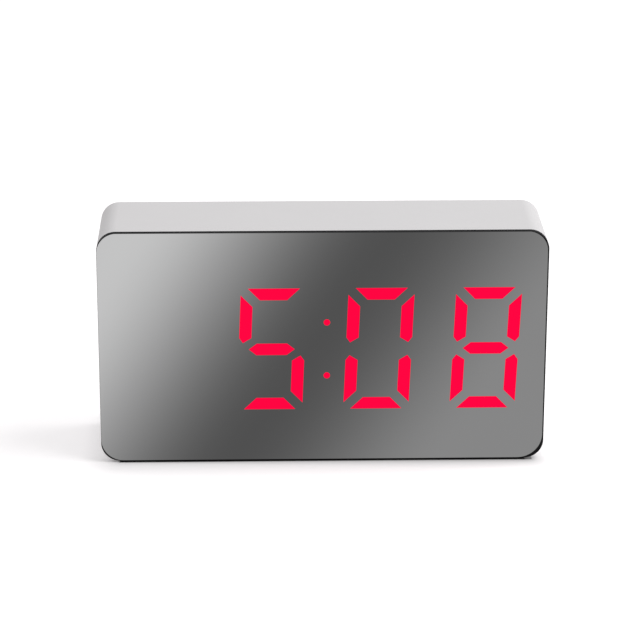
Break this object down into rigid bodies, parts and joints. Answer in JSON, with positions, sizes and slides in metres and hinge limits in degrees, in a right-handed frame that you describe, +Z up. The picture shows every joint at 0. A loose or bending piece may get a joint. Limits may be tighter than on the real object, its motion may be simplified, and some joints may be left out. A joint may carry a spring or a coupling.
{
  "type": "alarm clock",
  "caption": "Small free-standing mirror alarm clock: rounded rectangular half-mirror front with red seven-segment digits, pale moulded case, keys and battery door behind.",
  "frame": {"origin": "on the table, under the middle of the overall box", "axes": "+X to the right as the display is read, +Y from the mirror to the back, +Z up"},
  "size_m": [0.115, 0.0284, 0.0625],
  "materials": {
    "case_white": "smooth moulded, satin",
    "mirror": "half-mirror coated acrylic",
    "tape_black": "matte foam tape",
    "film_red": "thin tinted film",
    "reflector_black": "matte",
    "board_green": "solder-masked glass laminate",
    "chip_black": "moulded",
    "steel": "zinc plated",
    "nickel": "nickel plated sheet",
    "brass": "bare sheet",
    "ceramic_white": "silvered ceramic",
    "sleeve_blue": "shrink sleeve",
    "cell_jacket": "printed jacket",
    "button_grey": "satin",
    "rubber": "matte",
    "wire_red": "satin insulation",
    "wire_black": "satin insulation",
    "ribbon_grey": "flat flexible cable"
  },
  "bodies": {
    "clock": {"alarm_switch": "steel", "battery_cell_1": "cell_jacket", "battery_cell_2": "cell_jacket", "battery_cell_3": "cell_jacket", "battery_lead_black": "wire_black", "battery_lead_red": "wire_red", "battery_spring_1": "steel", "battery_spring_2": "steel", "battery_spring_3": "steel", "board_screw_1": "steel", "board_screw_2": "steel", "board_screw_3": "steel", "board_screw_4": "steel", "case_screw_1": "steel", "case_screw_2": "steel", "case_screw_3": "steel", "case_screw_4": "steel", "case_shell": "case_white", "clock_crystal": "nickel", "controller_chip": "chip_black", "diffuser_film": "film_red", "display_board": "board_green", "display_reflector": "reflector_black", "down_switch": "steel", "key_board": "board_green", "key_board_screw_1": "steel", "key_board_screw_2": "steel", "left_link_contact": "nickel", "lens_tape": "tape_black", "mirror_lens": "mirror", "mode_switch": "steel", "negative_contact": "nickel", "positive_contact": "nickel", "rear_cover": "case_white", "ribbon_cable": "ribbon_grey", "right_link_contact": "nickel", "rubber_foot_1": "rubber", "rubber_foot_2": "rubber", "rubber_foot_3": "rubber", "rubber_foot_4": "rubber", "smoothing_capacitor": "sleeve_blue", "sounder_ceramic": "ceramic_white", "sounder_disc": "brass", "sounder_lead_black": "wire_black", "sounder_lead_red": "wire_red", "up_switch": "steel", "usb_socket": "steel", "usb_tongue": "chip_black"},
    "battery_door": {"battery_door": "case_white"},
    "mode_key": {"mode_button": "button_grey", "mode_plunger": "chip_black"},
    "alarm_key": {"alarm_button": "button_grey", "alarm_plunger": "chip_black"},
    "up_key": {"up_button": "button_grey", "up_plunger": "chip_black"},
    "down_key": {"down_button": "button_grey", "down_plunger": "chip_black"}
  },
  "joints": [
    {"name": "battery_door_hinge", "type": "hinge", "parent": "clock", "child": "battery_door", "pos_m": [0, 0.0128, 0.00695], "axis": [-1, 0, 0], "range_deg": [0, 90]},
    {"name": "mode_key_press", "type": "slide", "parent": "clock", "child": "mode_key", "axis": [0, -1, 0], "range_m": [0, 0.0005], "stiffness_N_per_m": 1500},
    {"name": "alarm_key_press", "type": "slide", "parent": "clock", "child": "alarm_key", "axis": [0, -1, 0], "range_m": [0, 0.0005], "stiffness_N_per_m": 1500},
    {"name": "up_key_press", "type": "slide", "parent": "clock", "child": "up_key", "axis": [0, -1, 0], "range_m": [0, 0.0005], "stiffness_N_per_m": 1500},
    {"name": "down_key_press", "type": "slide", "parent": "clock", "child": "down_key", "axis": [0, -1, 0], "range_m": [0, 0.0005], "stiffness_N_per_m": 1500}
  ]
}
